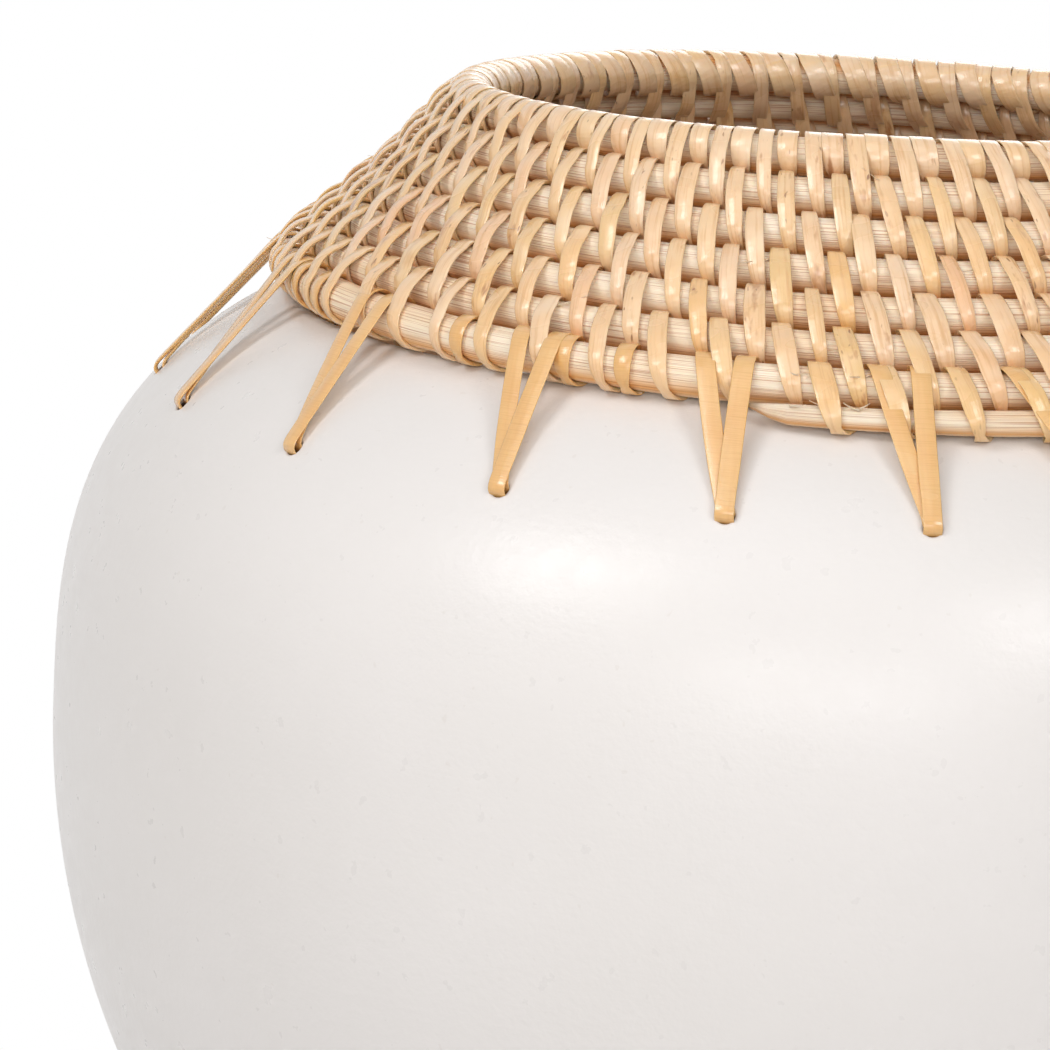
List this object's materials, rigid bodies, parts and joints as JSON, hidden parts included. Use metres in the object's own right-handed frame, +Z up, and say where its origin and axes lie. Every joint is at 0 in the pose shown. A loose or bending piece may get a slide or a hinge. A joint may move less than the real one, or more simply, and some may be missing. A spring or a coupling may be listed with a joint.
{
  "type": "vase",
  "caption": "Round-bellied white vase whose neck and mouth are a collar of coiled rattan, laced to the pot's shoulder with cane strips through drilled holes.",
  "frame": {"origin": "centre of the pot's base, on the surface it stands on", "axes": "+Z up along the pot's axis, front towards -Y, +X to the right of the front view"},
  "size_m": [0.3, 0.3, 0.2536],
  "materials": {
    "painted_clay": "matte white paint",
    "rattan_core": "peeled, unvarnished",
    "binder_cane": "satin natural skin",
    "lace_cane": "satin natural skin"
  },
  "bodies": {
    "root": {"pot": "painted_clay", "collar_core": "rattan_core", "rim_winding": "binder_cane", "lace_01": "lace_cane", "lace_02": "lace_cane", "lace_03": "lace_cane", "lace_04": "lace_cane", "lace_05": "lace_cane", "lace_06": "lace_cane", "lace_07": "lace_cane", "lace_08": "lace_cane", "lace_09": "lace_cane", "lace_10": "lace_cane", "lace_11": "lace_cane", "lace_12": "lace_cane", "lace_13": "lace_cane", "lace_14": "lace_cane", "lace_15": "lace_cane", "lace_16": "lace_cane", "lace_17": "lace_cane", "lace_18": "lace_cane", "lace_19": "lace_cane", "lace_20": "lace_cane"}
  },
  "joints": []
}
